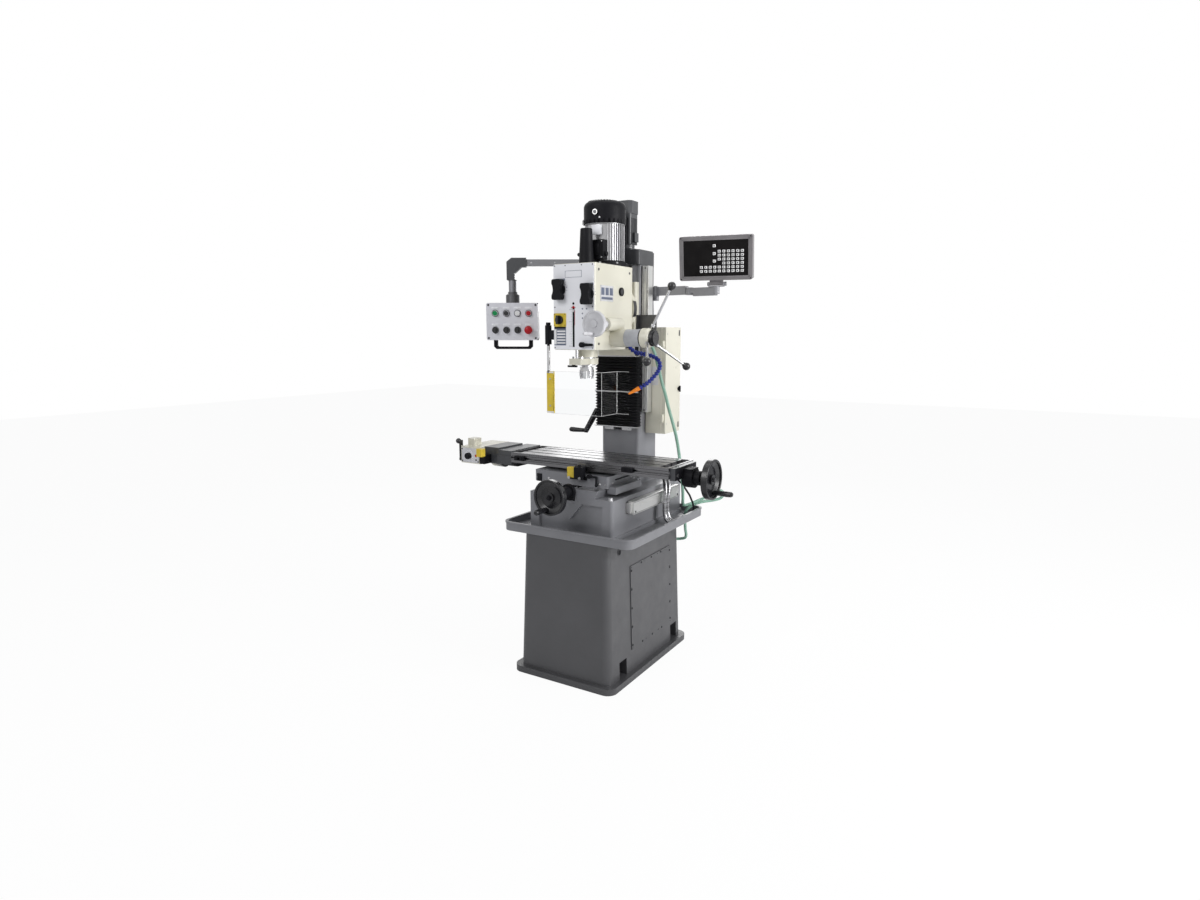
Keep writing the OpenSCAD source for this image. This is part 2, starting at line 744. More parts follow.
module saddle() {
  color(grey) difference() {
    union() {
      translate([(sad_x0 + sad_x1) / 2, (sad_back - sad_front) / 2, way_top + gap])
        slab(sad_x1 - sad_x0, sad_front + sad_back, saddle_h - gap - table_rail_h - 0.3, 8);
      // Legs that grip the way block
      for (s = [-1, 1]) translate([s * (way_w / 2 + 24), (sad_back - sad_front) / 2, way_top - 22])
        translate([-22, -(sad_front + sad_back) / 2 + 10, 0])
          cube([44, sad_front + sad_back - 20, 30]);
      // Dovetail along X that carries the table
      translate([sad_x0 + 6, table_y, way_top + saddle_h - table_rail_h - 1])
        rotate([90, 0, 90]) linear_extrude(height = sad_x1 - sad_x0 - 12)
          polygon([[-table_rail / 2 + 8, 0], [table_rail / 2 - 8, 0],
                   [table_rail / 2, table_rail_h + 0.7], [-table_rail / 2, table_rail_h + 0.7]]);
      // Nut of the cross screw
      translate([-20, -130, y_screw_z - 19]) cube([40, 80, way_top - y_screw_z + 22]);
    }
    // Way block clearance, undercut like the block
    translate([0, 60, base_top]) rotate([90, 0, 0]) linear_extrude(height = 400)
      polygon([[-way_w / 2 + 14 - gap - 0.4, 0], [way_w / 2 - 14 + gap + 0.4, 0],
               [way_w / 2 + gap, way_h + gap], [-way_w / 2 - gap, way_h + gap]]);
    translate([0, 60, y_screw_z]) rod_front(y_shaft_r + fit, 300);
    // Channel for the table's screw
    translate([sad_x0 - 1, table_y - x_channel / 2, x_screw_z - 14])
      cube([sad_x1 - sad_x0 + 2, x_channel, 60]);
  }
  // Nut of the table's screw and the cross screw's nut
  color(steel) difference() {
    union() {
      translate([-30, table_y - x_channel / 2 + gap, x_screw_z - 15])
        cube([60, x_channel - 2 * gap, 26]);
      translate([-20, -130, y_screw_z - 19]) cube([40, 80, way_top - y_screw_z + 22]);
    }
    translate([-60, table_y, x_screw_z]) rod_x(x_shaft_r + fit, 120);
    translate([0, 60, y_screw_z]) rod_front(y_shaft_r + fit, 300);
  }
}
table_rail_h = 14;
x_channel = 34;
x_shaft_r = 10;
x_screw_z = table_z - 5;
table_lip = 82;
x_bearing_l = 92;
x_wheel_x = table_right + 122;

module limit_switches() {
  color(yellow) translate([-38, -sad_front - 24, way_top + 42]) cube([38, 24, 40]);
  color(black) {
    translate([0, -sad_front - 30, way_top + 34]) cube([42, 30, 52]);
    translate([20, -sad_front - 14, way_top + 86]) cylinder(r = 7, h = 10);
    translate([-38, -sad_front - 24, way_top + 38]) cube([38, 24, 4]);
    // Mounting foot
    translate([-44, -sad_front - 6, way_top + 28]) cube([94, 6, 14]);
  }
}

lock_x = 66;
lock_z = way_top + 48;

module saddle_lock() {
  color(black) translate([lock_x, -sad_front - gap, lock_z]) {
    rod_front(9, 16);
    translate([0, -15, -4]) cube([40, 7, 8]);
    translate([36, -11.5, -33]) cylinder(r = 4.5, h = 37);
    translate([36, -11.5, -35]) sphere(r = 7);
  }
}

// Table with three slots, a front slot for the dogs, and a trough at each end

module tee_slot(l) {
  translate([0, 0, -11]) translate([-l / 2, -slot_w / 2, 0]) cube([l, slot_w, 12]);
  translate([-l / 2, -slot_w * 0.85, -19]) cube([l, slot_w * 1.7, 9]);
}

module table() {
  color(steel) difference() {
    translate([0, 0, table_z + gap]) translate([table_left, table_front, 0])
      cube([table_l, table_w, table_h - gap]);
    for (i = [-1, 0, 1]) translate([table_x, table_y + i * slot_gap, table_top])
      tee_slot(table_l - 92);
    // Troughs at the ends and along the back
    for (s = [-1, 1]) translate([table_x + s * (table_l / 2 - 27), table_y, table_top - 12])
      translate([-19, -table_w / 2 + 10, 0]) cube([38, table_w - 20, 13]);
    translate([table_left + 12, table_y + table_w / 2 - 18, table_top - 6])
      cube([table_l - 24, 10, 7]);
    // Front slot for the trip dogs
    translate([table_left - 1, table_front - 1, table_z + 19]) cube([table_l + 2, 9, 9]);
    translate([table_left - 1, table_front + 5, table_z + 15]) cube([table_l + 2, 6, 17]);
    // Underside channel for the saddle's dovetail
    translate([table_left - 1, table_y, table_z]) rotate([90, 0, 90])
      linear_extrude(height = table_l + 2)
        polygon([[-table_rail / 2 + 7 - gap, -1], [table_rail / 2 - 7 + gap, -1],
                 [table_rail / 2 + gap + 0.3, 1], [-table_rail / 2 - gap - 0.3, 1]]);
    // Channel round the screw
    translate([table_left - 1, table_y - x_channel / 2, table_z - 1]) cube([table_l + 2, x_channel, 12]);
  }
}

// Brackets at the table's ends and the bearing of the table's screw

module table_brackets() {
  color(dark) difference() {
    union() {
      // Left bracket
      translate([table_left - table_lip, table_front, table_z - 14]) difference() {
        cube([table_lip - gap, table_w - 12, table_h + 18]);
        translate([-1, -1, 40]) cube([table_lip + 2, 5, 30]);
        translate([-1, -1, -1]) cube([table_lip + 2, 4, 12]);
      }
      translate([table_left - 72, table_y - 60, table_z - 30]) cube([62, 120, 18]);
      // Right plate with its bearing
      translate([table_right + gap, table_front + 12, table_z - 6])
        cube([24, table_w - 36, table_h + 4]);
      translate([table_right + 20, table_y, x_screw_z]) rod_x(42, 46);
      translate([table_right + 60, table_y, x_screw_z]) rod_x(30, x_bearing_l - 60);
      translate([table_right + 22, table_y - 34, x_screw_z]) cube([40, 68, 40]);
    }
    translate([table_right - 1, table_y, x_screw_z]) rod_x(x_shaft_r + fit, 140);
    translate([table_left - 90, table_y, x_screw_z]) rod_x(x_shaft_r + fit, 100);
  }
}

module trip_dogs() {
  color(black) for (x = dog_x) translate([x - 26, table_front, table_z + 23.5]) {
    translate([0, -13, -10]) cube([52, 13.0 - gap, 20]);
    translate([8, -1, -4]) cube([36, 6, 8]);
    translate([8, 5.2, -8]) cube([36, 5.2, 16]);
    translate([14, -12, 0]) rod_front(6, 6, $fn = 6);
    translate([38, -12, 0]) rod_front(6, 6, $fn = 6);
  }
}
dog_x = [table_left + 53, table_right - 187];

// Power feed on the left end

feed_w = 121;
feed_x1 = table_left - 166;
feed_x0 = feed_x1 - feed_w;
feed_front = 225;
feed_z0 = table_z - 22;
feed_h = 78;

module feed_housing() {
  color(cream) {
    difference() {
      translate([(feed_x0 + feed_x1) / 2, -110, feed_z0])
        slab(feed_x1 - feed_x0, 2 * (feed_front - 110), feed_h, 8);
      // Front panel recess
      translate([feed_x0 + 6, -feed_front - 1, feed_z0 + 6])
        cube([feed_x1 - feed_x0 - 12, 2.5, feed_h - 12]);
      translate([feed_knob_x, -feed_front - 1, feed_knob_z]) rod_y(4 + fit, 30);
    }
    // Motor hump
    translate([feed_x0 + 40, -168, feed_z0 + feed_h - 1]) slab(hump_w, 52, 36, 8);
    // Gear case that joins the table's bracket
    translate([feed_x1 - 5, -190, feed_z0 + 4])
      cube([table_left - table_lip - gap - feed_x1 + 5, 180, feed_h - 2]);
    translate([feed_x1 - 20, table_y, x_screw_z]) rod_x(46, 60);
  }
  // Limit switch with its cover
  color(yellow) translate([feed_x1 + 21, -246, feed_z0 + 42]) slab(34, 30, 36, 5);
  color(black) translate([feed_x1 + 7, -240, feed_z0 + 6]) cube([30, 50.5, 40]);
}
feed_knob_x = feed_x0 + 55;
hump_w = 46;
feed_knob_z = feed_z0 + 36;

module feed_lever() {
  color(black) translate([feed_x0 - gap, -feed_front + 12, feed_z0 + 14]) {
    rotate([0, -90, 0]) cylinder(r = 9, h = 12);
    translate([-10, -9, -6]) cube([8, 18, 96]);
    translate([-6, 0, 84]) rotate([90, 0, 0]) cylinder(r = 5, h = 14);
    translate([-6, -16, 88]) sphere(r = 13);
  }
}

module feed_knob() {
  color(black) translate([feed_knob_x, -feed_front + 1.5 - gap, feed_knob_z]) {
    rod_front(15, 20);
    rod_y(4, 18);
    translate([0, -18, 0]) rod_front(12, 6);
  }
}

module x_handwheel() {
  color(black) translate([x_wheel_x, table_y, x_screw_z]) rotate([0, 90, 0]) {
    wheel_form(x_wheel_r, 27, 21, x_shaft_r + fit);
    rotate([0, 0, 20]) translate([x_wheel_r - 22, 0, 8]) grip_form(90, 12);
  }
  // The table's screw, keyed to the wheel
  color(steel) {
    translate([table_left - 81, table_y, x_screw_z])
      rod_x(x_shaft_r, x_wheel_x + 23 - table_left + 81);
    translate([x_wheel_x + 22, table_y, x_screw_z]) rod_x(9, 8, $fn = 6);
    translate([table_right + x_bearing_l + gap, table_y, x_screw_z])
      rod_x(17, x_wheel_x - table_right - x_bearing_l - 2 * gap);
  }
}

// Lifting crank, its bevel gear and the lifting screw

crank_l = 126;
crank_angle = 41;

module z_crank() {
  x0 = -bel_w / 2 - 2;
  color(black) translate([x0, screw_y, crank_z]) {
    rotate([0, -90, 0]) cylinder(r = 17, h = 14);
    rotate([crank_angle, 0, 0]) translate([-24, 0, 0]) {
      hull() {
        rod_x(15, 13, $fn = 32);
        translate([0, -crank_l, 0]) rod_x(11, 13, $fn = 32);
      }
      translate([0, -crank_l, 0]) rotate([0, -90, 0]) grip_form(84, 12);
    }
  }
  color(steel) translate([x0 - 10, screw_y, crank_z]) rod_x(crank_shaft_r, -x0 - 16);
  color(steel) translate([-28.6, screw_y, crank_z]) rotate([0, 90, 0]) bevel_gear();
}

module bevel_gear() {
  difference() {
    cylinder(r1 = 27, r2 = 13, h = 14);
    for (a = [0 : 20 : 340]) rotate([0, 0, a]) translate([27, 0, 0])
      rotate([0, -45, 0]) translate([-3, -1.4, -6]) cube([8, 2.8, 30]);
  }
}

z_screw_r = 12;

module z_screw() {
  color(steel) {
    translate([0, screw_y, crank_z + 14]) cylinder(r = z_screw_r, h = col_top + 30 - crank_z - 14);
    translate([0, screw_y, crank_z + 28.6]) rotate([180, 0, 0]) bevel_gear();
  }
}

// Carriage on the column

car_z0 = bel_z1 + gap;
car_z1 = 1718;
car_back = col_front - 2;
flange_r = 106;
swivel_z = 1600;

module z_carriage() {
  color(cream) difference() {
    union() {
      translate([0, (head_back + 26 + car_back) / 2, car_z0])
        slab(col_w, car_back - head_back - 26, car_z1 - car_z0, 10);
      // Round seat of the head
      translate([0, head_back + gap, swivel_z]) rod_y(flange_r, 28);
      translate([0, head_back - 30, swivel_z]) rod_y(pivot_r, 60);
    }
    translate([0, 0, car_z0 - 1]) linear_extrude(height = car_z1) dovetail(gap);
  }
  // Nut on the lifting screw
  color(steel) difference() {
    translate([-20, col_front - rail_d - 1, swivel_z - 40]) cube([40, 48, 80]);
    translate([0, screw_y, swivel_z - 50]) cylinder(r = z_screw_r + fit, h = 100);
  }
  // Reader of the measuring scale
  color(dark) {
    translate([col_w / 2 - 5, col_front - 12, 1482]) cube([92, 10, 92]);
    translate([col_w / 2 - 18, col_front - 36, 1482]) cube([20, 30, 92]);
  }
  // Coolant tap
  color(black) {
    translate([col_w / 2 - 4, 100, 1436]) cube([30, 30, 30]);
    translate([col_w / 2 + 22, 115, 1450]) rod_x(9, hose_route[0][0] - 2 * gap - col_w / 2 - 22);
  }
}
pivot_r = 40;

// Head

module head_profile() {
  translate([0, (head_back - head_front) / 2]) rounded(head_w, head_back + head_front, 12);
}

slot_z0 = 1436;
slot_z1 = 1602;

module gear_head() {
  color(cream) difference() {
    union() {
      translate([0, 0, head_z]) linear_extrude(height = head_h) head_profile();
      // Nose round the quill
      translate([0, -spindle_y, head_z - 32]) cylinder(r = quill_r + 11, h = 33);
      // Boss of the feed hub
      translate([head_side - 6, -hub_y, hub_z]) rod_x(38, boss_l + 6);
      // Worm housing of the fine feed
      translate([fine_x, -192, fine_z]) rod_y(27, 116);
      translate([head_side - 6, -180, fine_z - 20]) cube([fine_x - head_side + 6, 96, 40]);
      // Lug for the guard's rod
      translate([guard_x, guard_y, guard_clamp_z]) cylinder(r = 14, h = 80);
      translate([guard_x, guard_y - 9, guard_clamp_z + 20]) cube([-guard_x - head_side + 6, 18, 40]);
    }
    // Hollow for the quill and the spindle
    translate([0, -spindle_y, head_z - 33]) cylinder(r = quill_r + fit, h = 250);
    translate([0, -spindle_y, head_z + 200]) cylinder(r = 26, h = head_h - 220);
    // Chamber and slot of the depth rod
    translate([-9, -depth_y - 12, head_z - 1]) cube([18, 24, slot_z1 - head_z + 8]);
    translate([-5, -head_front - 1, slot_z0]) cube([10, 30, slot_z1 - slot_z0]);
    // Bore of the feed shaft and pocket of its pinion
    translate([-40, -hub_y, hub_z]) rod_x(feed_shaft_r + fit, 260);
    translate([-24, -hub_y, hub_z]) rod_x(20, 48);
    // Seat of the swivel pivot
    translate([0, head_back - 31, swivel_z]) rod_y(pivot_r + fit, 40);
    translate([fine_x, -200, fine_z]) rod_y(fine_shaft_r + fit, 90);
    translate([guard_x, guard_y, guard_clamp_z - 1]) cylinder(r = guard_rod_r + fit, h = 90);
    // Bores of the control shafts in the front
    for (p = front_shafts) translate([p[0], -head_front - 1, p[1]]) rod_y(front_shaft_r + fit, 24);
  }
}
feed_shaft_r = 14;
boss_l = 67;
hub_x = head_side + 139;
fine_x = 118;
fine_shaft_r = 8;
depth_y = 225;
guard_x = -138;
guard_y = -236;
guard_clamp_z = 1446;
guard_rod_r = 6;
lever_l = [-63, 1671];
lever_r = [76, 1650];
switch_at = [-67, 1548];
lock_at = [46, 1446];
front_shafts = [lever_l, lever_r, switch_at, lock_at];
front_shaft_r = 6;

module front_plate() {
  color(white) difference() {
    union() {
      translate([0, -head_front, head_z + head_h / 2]) front_slab(head_w - 4, head_h - 4, plate_t, 6);
      translate([switch_at[0], -plate_face + 0.5, switch_at[1]]) front_slab(60, 54, 4.5, 3);
      translate([switch_at[0], -plate_face + 0.5, 1482]) front_slab(58, 78, 1.5, 2);
    }
    translate([-5, -plate_face - 1, slot_z0]) cube([10, 8, slot_z1 - slot_z0]);
    for (p = front_shafts) translate([p[0], -plate_face - 6, p[1]]) rod_y(front_shaft_r + fit, 24);
  }
}

motor_z0 = head_top;

module motor_body() {
  color(black) translate([0, 0, motor_z0]) {
    cylinder(r = 104, h = 14);
    cylinder(r = 90, h = 24);
  }
  color(steel) translate([0, 0, motor_z0 + 22]) {
    cylinder(r = motor_r - 7, h = motor_top - fan_h - motor_z0 - 22);
    // End shield that carries the fan cover
    translate([0, 0, motor_top - fan_h - motor_z0 - 24]) cylinder(r = fan_r - 3 - gap, h = 12);
    // Cooling fins that run up the body, left out behind the terminal box and plate
    for (a = fin_angles) rotate([0, 0, a])
      translate([motor_r - 9, -1.5, 0]) cube([9, 3, motor_top - fan_h - motor_z0 - 22]);
  }
}
fin_angles = [for (a = [-52 : 8 : 228]) a];

module fan_cover() {
  color(black) translate([0, 0, motor_top - fan_h]) difference() {
    rotate_extrude() {
      square([fan_r, fan_h - 26]);
      square([fan_r - 26, fan_h]);
      translate([fan_r - 26, fan_h - 26]) intersection() {
        circle(r = 26);
        square(26);
      }
    }
    translate([0, 0, -1]) cylinder(r = fan_r - 3, h = 12);
    // Air slots in the top
    for (a = [0 : 15 : 345]) rotate([0, 0, a])
      translate([30, -2, fan_h - 5]) cube([fan_r - 62, 4, 8]);
  }
}
fan_h = 95;

module terminal_box() {
  color(black) {
    difference() {
      translate([-38, -114, motor_z0 + 26]) cube([98, 36, 80]);
      translate([-32, -115, motor_z0 + 32]) cube([86, 2, 68]);
      translate([0, 0, motor_z0]) cylinder(r = motor_r - 7 + gap, h = 200);
    }
    translate([60 - 1, -97, motor_z0 + 48]) rod_x(9, 12);
  }
}

module drawbar_cap() {
  color(black) {
    translate([0, -spindle_y, head_top]) cylinder(r1 = 32, r2 = 25, h = 146);
    translate([0, -spindle_y, head_top + 145.5]) cylinder(r = 23, h = 3);
    translate([-35, -spindle_y, head_top + 44]) rotate([0, 90, 0]) cylinder(r = 4, h = 12);
    translate([-36, -spindle_y, head_top + 44]) sphere(r = 8);
  }
}

// Segmented coolant hose: short bell-shaped segments along a hand-chosen route

nozzle_route = [
  [116, 20, 1431], [142, 20, 1412], [172, 18, 1406], [204, 15, 1402], [235, 13, 1395],
  [260, 10, 1382], [273, 6, 1359], [268, 2, 1336], [254, -5, 1314], [236, -15, 1292],
  [216, -23, 1274], [192, -31, 1259]
];
nozzle_tip = [150, -50, 1234];

function turn_to(v) = [0, acos(v[2] / norm(v)), atan2(v[1], v[0])];

module nozzle_hose() {
  path = smooth(nozzle_route, 2);
  color([0.15, 0.2, 0.65]) {
    for (i = [0 : len(path) - 2]) {
      d = path[i + 1] - path[i];
      translate(path[i]) rotate(turn_to(d)) rotate_extrude()
        polygon([[0, -3], [6.4, -3], [9.6, 1.5], [9.6, 6.5], [7.4, 8.5], [5.4, 9],
                 [5.4, norm(d)], [0, norm(d)]]);
    }
    // Valve block on the head
    translate([head_side, 8, 1428]) cube([16, 24, 22]);
  }
  color([0.95, 0.5, 0.12]) {
    d = nozzle_tip - nozzle_route[len(nozzle_route) - 1];
    translate(nozzle_route[len(nozzle_route) - 1]) rotate(turn_to(d)) rotate_extrude()
      polygon([[0, -3], [8.5, -3], [9.5, 6], [9, 14], [4, norm(d)], [0, norm(d)]]);
  }
}

// Quill with its collar, rack and depth rod

collar_z0 = 1362;
collar_h = 26;
collar_ear = 92;

module quill() {
  color(steel) difference() {
    union() {
      translate([0, -spindle_y, collar_z0 - 4]) cylinder(r = quill_r, h = 232);
      // Depth rod and its pointer
      translate([0, -depth_y, collar_z0 + 1]) cylinder(r = 6, h = 1592 - collar_z0);
      translate([-4, -plate_face - 4, 1580]) cube([8, 30, 10]);
      translate([-22, -depth_y + 4, collar_z0 + collar_h - 1]) cylinder(r = 5, h = 9, $fn = 6);
      translate([22, -depth_y + 4, collar_z0 + collar_h - 1]) cylinder(r = 5, h = 9, $fn = 6);
    }
    translate([0, -spindle_y, collar_z0 - 5]) cylinder(r = spindle_r + fit, h = 240);
    // Teeth of the rack at the back
    for (i = [0 : 13]) translate([-8, -spindle_y + quill_r - 3, collar_z0 + 60 + i * 11])
      cube([16, 6, 5]);
  }
  color(cream) difference() {
    union() {
      translate([0, -spindle_y, collar_z0]) cylinder(r = collar_r, h = collar_h);
      // Ear that carries the depth rod
      translate([0, -spindle_y - collar_ear / 2, collar_z0])
        slab(64, collar_ear, collar_h, 8);
    }
    translate([0, -spindle_y, collar_z0 - 5]) cylinder(r = spindle_r + fit, h = 240);
  }
  // Clamp lever under the collar
  color(black) {
    translate([-22, -spindle_y - 66, collar_z0 - 9]) cylinder(r = 8, h = 10);
    translate([-50, -spindle_y - 72, collar_z0 - 11]) cube([44, 10, 8]);
  }
}
spindle_r = 22;

module spindle() {
  nose_z = 1301;
  color(steel) translate([0, -spindle_y, 0]) difference() {
    union() {
      translate([0, 0, nose_z]) cylinder(r = 29, h = 50);
      translate([0, 0, nose_z + 12]) cylinder(r = 31, h = 26);
      translate([0, 0, nose_z + 49]) cylinder(r = spindle_r, h = 400);
      translate([0, 0, nose_z + 289.3]) cylinder(r = 24, h = 60);
    }
    translate([0, 0, nose_z - 1]) cylinder(r = spindle_bore, h = 76);
    translate([0, 0, nose_z + 70]) cylinder(r = 8, h = 400);
    // Slots between the nose's driving dogs
    for (a = [15, 75, 135]) rotate([0, 0, a]) translate([-40, -9, nose_z - 1]) cube([80, 18, 34]);
  }
}

// Feed hub on the right, with three spokes

module feed_hub() {
  color(grey) translate([0, -hub_y, hub_z]) {
    translate([-30, 0, 0]) rod_x(feed_shaft_r, hub_x + 50);
    translate([-20, 0, 0]) rod_x(16.4, 40);
    translate([head_side + boss_l + gap, 0, 0]) rod_x(36, hub_x - head_side - boss_l - 1);
    translate([hub_x - 14, 0, 0]) rod_x(37.5, 11);
  }
  color(cream) difference() {
    translate([hub_x, -hub_y, hub_z]) rotate([0, 90, 0]) rotate_extrude()
      polygon([[0, 0], [38, 0], [41, 4], [41, 28], [37, 40], [30, 45], [0, 45]]);
    for (k = [0 : 2]) spoke_place(k) translate([0, 24, 0]) rod_y(spoke_r + fit, 40);
  }
}

spoke_start = 85;
spoke_lean = 25.6;

// Lays a spoke along +Y, turned about the hub and leaning away from the head
module spoke_place(k) {
  translate([hub_x + 22, -hub_y, hub_z]) rotate([spoke_start - 120 * k, 0, 0])
    rotate([0, 0, -spoke_lean]) children();
}

module feed_spokes() {
  color(steel) for (k = [0 : 2]) spoke_place(k) {
    translate([0, 24 + gap, 0]) rod_y(spoke_r, spoke_ball - 24 - gap);
    translate([0, 52, 0]) rod_y(9, 8, $fn = 6);
    translate([0, spoke_ball, 0]) sphere(r = 17);
    translate([0, spoke_ball - 19, 0]) rod_y(9, 8);
  }
  color(black) translate([hub_x + 45 + gap, -hub_y, hub_z]) {
    rod_x(34, 14);
    translate([14, 0, 0]) rod_x(28, 4);
  }
}
spoke_r = 5.5;
spoke_ball = spoke_l / cos(spoke_lean);

module fine_wheel() {
  color(grey) translate([fine_x, -266, fine_z]) rotate([90, 0, 0]) {
    rotate_extrude() polygon([[0, 0], [fine_r - 6, 0], [fine_r, 4], [fine_r, 18],
      [fine_r - 3, 21], [fine_r - 8, 21], [fine_r - 11, 17], [17, 14], [15, 20], [0, 20]]);
    rotate([0, 0, 265]) translate([fine_r - 14, 0, 14]) grip_form(74, 7.5);
  }
  color(steel) translate([fine_x, -268, fine_z]) rod_y(fine_shaft_r, 150);
  color(black) translate([fine_x, -262, fine_z]) rod_y(16, 69.7);
}

module quill_lock() {
  color(black) translate([lock_at[0], -plate_face - gap, lock_at[1]]) {
    rod_front(11, 16);
    rod_y(front_shaft_r, 22);
    translate([0, -6, 0]) rotate([90, 0, 0]) linear_extrude(height = 8)
      polygon([[0, -7], [50, -5], [54, 0], [50, 5], [0, 7]]);
    translate([0, -15, 0]) sphere(r = 8);
  }
}

// Winged speed lever: wide at both ends, narrow at the waist
module speed_knob() {
  color(black) {
    translate([0, -gap, 0]) rod_front(24, 9);
    rod_y(front_shaft_r, 20);
    translate([0, -9, 0]) rotate([90, 0, 0]) linear_extrude(height = 26) difference() {
      rounded(46, 84, 9);
      for (s = [-1, 1]) translate([s * 62.5, 0]) circle(r = 46);
    }
  }
}

module speed_lever_left() {
  translate([lever_l[0], -plate_face, lever_l[1]]) speed_knob();
}

module speed_lever_right() {
  translate([lever_r[0], -plate_face, lever_r[1]]) speed_knob();
}

module main_switch() {
  color(black) translate([switch_at[0], -plate_face - 4 - gap, switch_at[1]]) {
    rod_front(18, 8);
    rod_y(front_shaft_r, 22);
    translate([-5, -22, -18]) cube([10, 15, 36]);
  }
}

// Clear guard on its rod at the left

module guard() {
  z0 = 1154;
  x0 = guard_x + 26;
  x1 = x0 + guard_w;
  y0 = guard_y - 16;
  depth = 125;
  color(black) translate([guard_x, guard_y, z0 + 170]) {
    cylinder(r = guard_rod_r, h = 214);
    translate([0, 0, guard_clamp_z + 80 + gap - z0 - 170]) cylinder(r = 10, h = 12);
  }
  color(yellow) translate([guard_x - 8, guard_y - 4, z0]) cube([36, 8, guard_h - 2]);
  color([0.8, 0.85, 0.88, 0.5]) {
    translate([x0 - guard_t + 1, y0, z0]) cube([guard_t, guard_y - y0, guard_h]);
    translate([x0 - guard_t + 1, y0, z0]) cube([guard_w + guard_t - 1, guard_t, guard_h]);
    translate([x1 - guard_t, y0, z0]) cube([guard_t, depth, guard_h]);
    translate([x1 - guard_t, y0 + depth - guard_t, z0]) cube([62, guard_t, guard_h]);
  }
}

// Pendant: everything is laid out before it is turned about the column

module pendant_place() {
  translate([pend_pivot[0], pend_pivot[1], 0]) rotate([0, 0, pend_yaw])
    translate([-pend_arm, 0, 0]) children();
}
pend_z1 = 1633;
pend_z0 = pend_z1 - pend_h;
pend_face = pend_d / 2;

module pendant_arm() {
  color(grey) {
    difference() {
      union() {
        translate([pend_pivot[0], pend_pivot[1], col_top + gap - 2]) cylinder(r = 22, h = 38);
        pendant_place() translate([0, -13, pend_arm_z]) cube([pend_arm, 26, 30]);
      }
      translate([pend_pivot[0], pend_pivot[1], col_top - 10]) cylinder(r = pend_pin_r + fit, h = 70);
    }
    // Elbow with a bevelled corner
    pendant_place() translate([0, 19, 0]) rotate([90, 0, 0]) linear_extrude(height = 38)
      polygon([[-25, 1739], [13, 1739], [13, 1770], [44, pend_arm_z - 5], [68, pend_arm_z - 5],
               [68, 1840], [-2, 1840], [-25, 1822]]);
  }
  color(steel) pendant_place() {
    translate([0, 0, 1674]) cylinder(r = 18, h = 66);
    translate([0, 0, pend_z1 + 20]) cylinder(r = 14, h = 30);
  }
}

button_x = [-78, -26, 26, 78];
row_top = 1585;
row_low = 1508;
button_r = 11;

module pendant_box() {
  color([0.72, 0.74, 0.76]) pendant_place() {
    difference() {
      union() {
        translate([0, pend_face, (pend_z0 + pend_z1) / 2]) front_slab(pend_w, pend_h, pend_d, 10);
        // Flange under the tube
        translate([0, 0, pend_z1 - 0.5]) difference() {
          cylinder(r = 32, h = 38.5);
          translate([0, 0, 19.5]) cylinder(r = 14 + fit, h = 30);
        }
      }
      for (x = button_x) for (z = [row_top, row_low])
        translate([x, -pend_face - 1, z]) rod_y(button_r - 3 + fit, 26);
    }
    // Flat grip under the box with bevelled corners
    translate([0, 11, 0]) rotate([90, 0, 0]) linear_extrude(height = 22)
      polygon([[-92, pend_z0 + 0.5], [-92, pend_z0 - 30], [-80, pend_z0 - 42],
               [80, pend_z0 - 42], [92, pend_z0 - 30], [92, pend_z0 + 0.5],
               [74, pend_z0 + 0.5], [74, pend_z0 - 25], [69, pend_z0 - 30],
               [-69, pend_z0 - 30], [-74, pend_z0 - 25], [-74, pend_z0 + 0.5]]);
  }
}

// Push button seen from the front: head, shank and travel gap
module push_button(x, shade) {
  color(shade) pendant_place() translate([x, -pend_face - 6, row_top]) {
    rod_front(button_r, 9);
    rod_y(button_r - 3, 20);
  }
}

module button_green() { push_button(button_x[0], [0.1, 0.6, 0.3]); }
module button_black() { push_button(button_x[1], black); }
module button_white() { push_button(button_x[2], white); }
module button_red() { push_button(button_x[3], [0.75, 0.1, 0.1]); }

module selector(x) {
  color(black) pendant_place() translate([x, -pend_face - gap, row_low]) {
    rod_front(13, 9);
    rod_y(button_r - 3, 20);
    translate([-4, -22, -13]) cube([8, 14, 26]);
  }
}

module selector_left() { selector(button_x[0]); }
module selector_middle() { selector(button_x[1]); }
module selector_right() { selector(button_x[2]); }

module emergency_stop() {
  color([0.8, 0.08, 0.08]) pendant_place() translate([button_x[3], -pend_face - 6, row_low]) {
    rod_y(button_r - 3, 20);
    translate([0, 0.5, 0]) rod_front(9, 12);
    translate([0, -11, 0]) rotate([90, 0, 0]) rotate_extrude()
      polygon([[0, 0], [15, 0], [19, 3], [19, 8], [16, 13], [10, 16], [0, 17]]);
  }
}

// Readout on two arms

dro_yaw_in = -5;
dro_yaw_out = -9;
dro_l_in = 178;
dro_l_out = 137;
dro_elbow = dro_pivot + dro_l_in * [cos(dro_yaw_in), sin(dro_yaw_in)];
dro_post = dro_elbow + dro_l_out * [cos(dro_yaw_out), sin(dro_yaw_out)];
dro_tilt_z = 1703;

module dro_arm_inner() {
  color(dark) translate([dro_pivot[0], dro_pivot[1], dro_arm_z - 22 + gap])
    rotate([0, 0, dro_yaw_in]) {
      difference() {
        union() {
          cylinder(r = 18, h = 42);
          translate([8, -13, 2]) cube([dro_l_in - 14, 26, 38]);
          translate([dro_l_in, 0, 0]) cylinder(r = 17, h = dro_tongue);
        }
        translate([0, 0, -1]) cylinder(r = dro_pin_r + fit, h = 60);
        translate([dro_l_in, 0, dro_tongue]) cylinder(r = 19, h = 50);
      }
      translate([dro_l_in, 0, dro_tongue - 1]) cylinder(r = dro_pin_r, h = 24);
    }
}

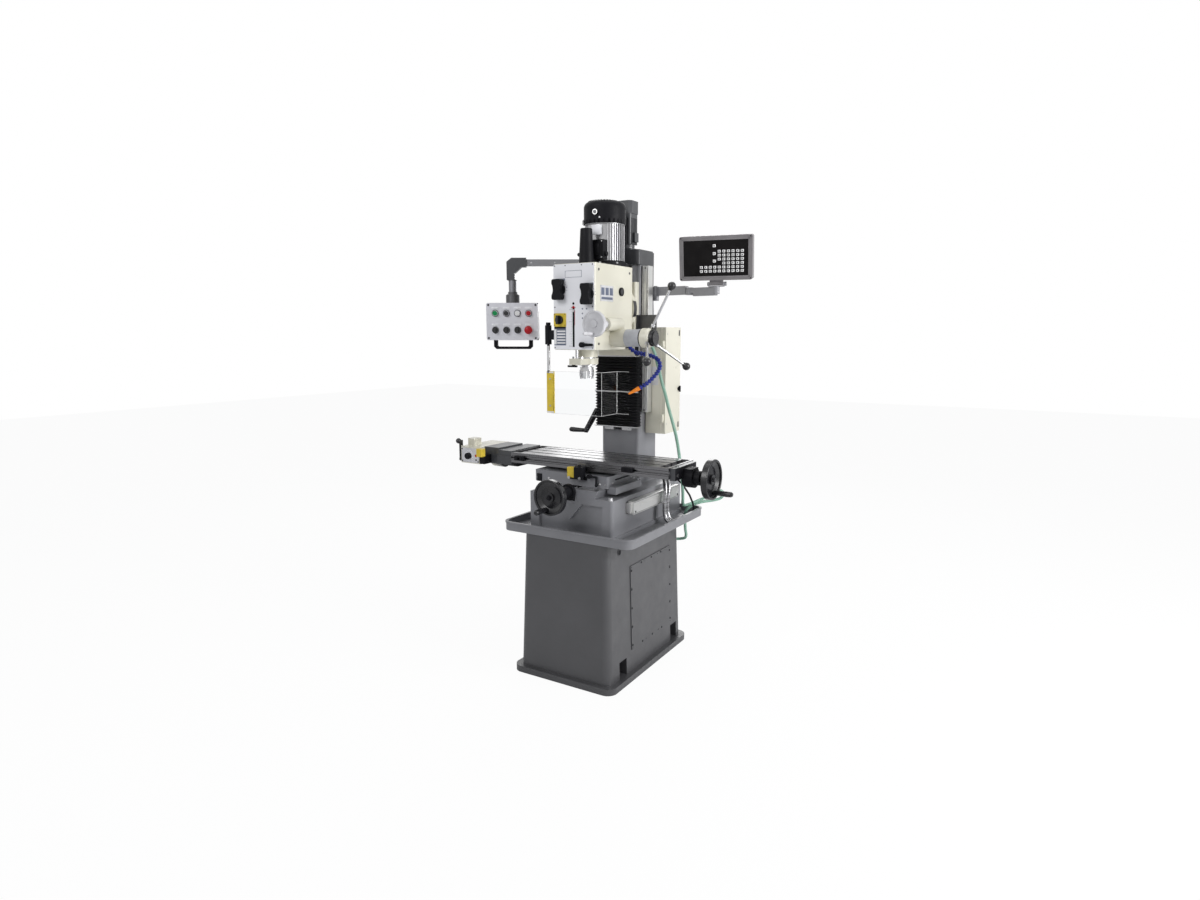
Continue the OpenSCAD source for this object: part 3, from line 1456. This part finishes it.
module dro_arm_outer() {
  z0 = dro_arm_z - 22 + dro_tongue + 2 * gap;
  color(dark) {
    translate([dro_elbow[0], dro_elbow[1], z0]) rotate([0, 0, dro_yaw_out]) difference() {
      union() {
        cylinder(r = 17, h = 24);
        translate([10, -11, 0]) cube([dro_l_out - 10, 22, 22]);
        translate([24, -11, -14]) cube([dro_l_out - 24, 22, 16]);
        translate([dro_l_out, 0, -8]) cylinder(r = 14, h = 32);
      }
      translate([0, 0, -1]) cylinder(r = dro_pin_r + fit, h = 40);
    }
    // Fork and cross pin that carry the display
    translate([dro_post[0], dro_post[1], 0]) rotate([0, 0, dro_yaw]) {
      translate([0, 0, z0 + 23]) cylinder(r = 9, h = dro_tilt_z - 11 - z0 - 23);
      translate([-dro_fork, -10, dro_tilt_z - 12]) cube([2 * dro_fork, 20, 4]);
      for (s = [-1, 1]) translate([s * (dro_fork - 2.5) - 2.5, -10, dro_tilt_z - 12])
        cube([5, 20, 20]);
      translate([-dro_fork + 1, 0, dro_tilt_z]) rod_x(4, 2 * dro_fork - 2);
      translate([dro_fork - 1, 0, dro_tilt_z]) rod_x(9, 10);
    }
  }
}
dro_tongue = 8;
dro_fork = 34;

module dro_display() {
  lug = dro_fork - 5 - gap;
  color(dark) translate([dro_post[0], dro_post[1], dro_tilt_z]) rotate([0, 0, dro_yaw])
    rotate([dro_lean, 0, 0]) {
      difference() {
        translate([-lug, -7, -6]) cube([2 * lug, 14, 24]);
        translate([-lug - 1, 0, 0]) rod_x(4 + fit, 2 * lug + 2);
      }
      translate([0, dro_d / 2, 17 + dro_h / 2]) difference() {
        front_slab(dro_w, dro_h, dro_d, 9);
        translate([0, -dro_d + 2, 0]) front_slab(dro_w - 22, dro_h - 22, 3, 5);
      }
    }
}

stand_cabinet();
access_panel();
chip_tray();
machine_base();
y_bearing();
column();
column_cap();
lift_motor();
z_scale();
y_scale();
electric_box();
electric_door();
z_bellows();
conduits();
coolant_hose();
y_handwheel();
y_screw();
saddle();
limit_switches();
saddle_lock();
table();
table_brackets();
trip_dogs();
feed_housing();
feed_lever();
feed_knob();
x_handwheel();
z_crank();
z_screw();
z_carriage();
gear_head();
front_plate();
motor_body();
fan_cover();
terminal_box();
drawbar_cap();
nozzle_hose();
quill();
spindle();
feed_hub();
feed_spokes();
fine_wheel();
quill_lock();
speed_lever_left();
speed_lever_right();
main_switch();
guard();
pendant_arm();
pendant_box();
button_green();
button_black();
button_white();
button_red();
selector_left();
selector_middle();
selector_right();
emergency_stop();
dro_arm_inner();
dro_arm_outer();
dro_display();
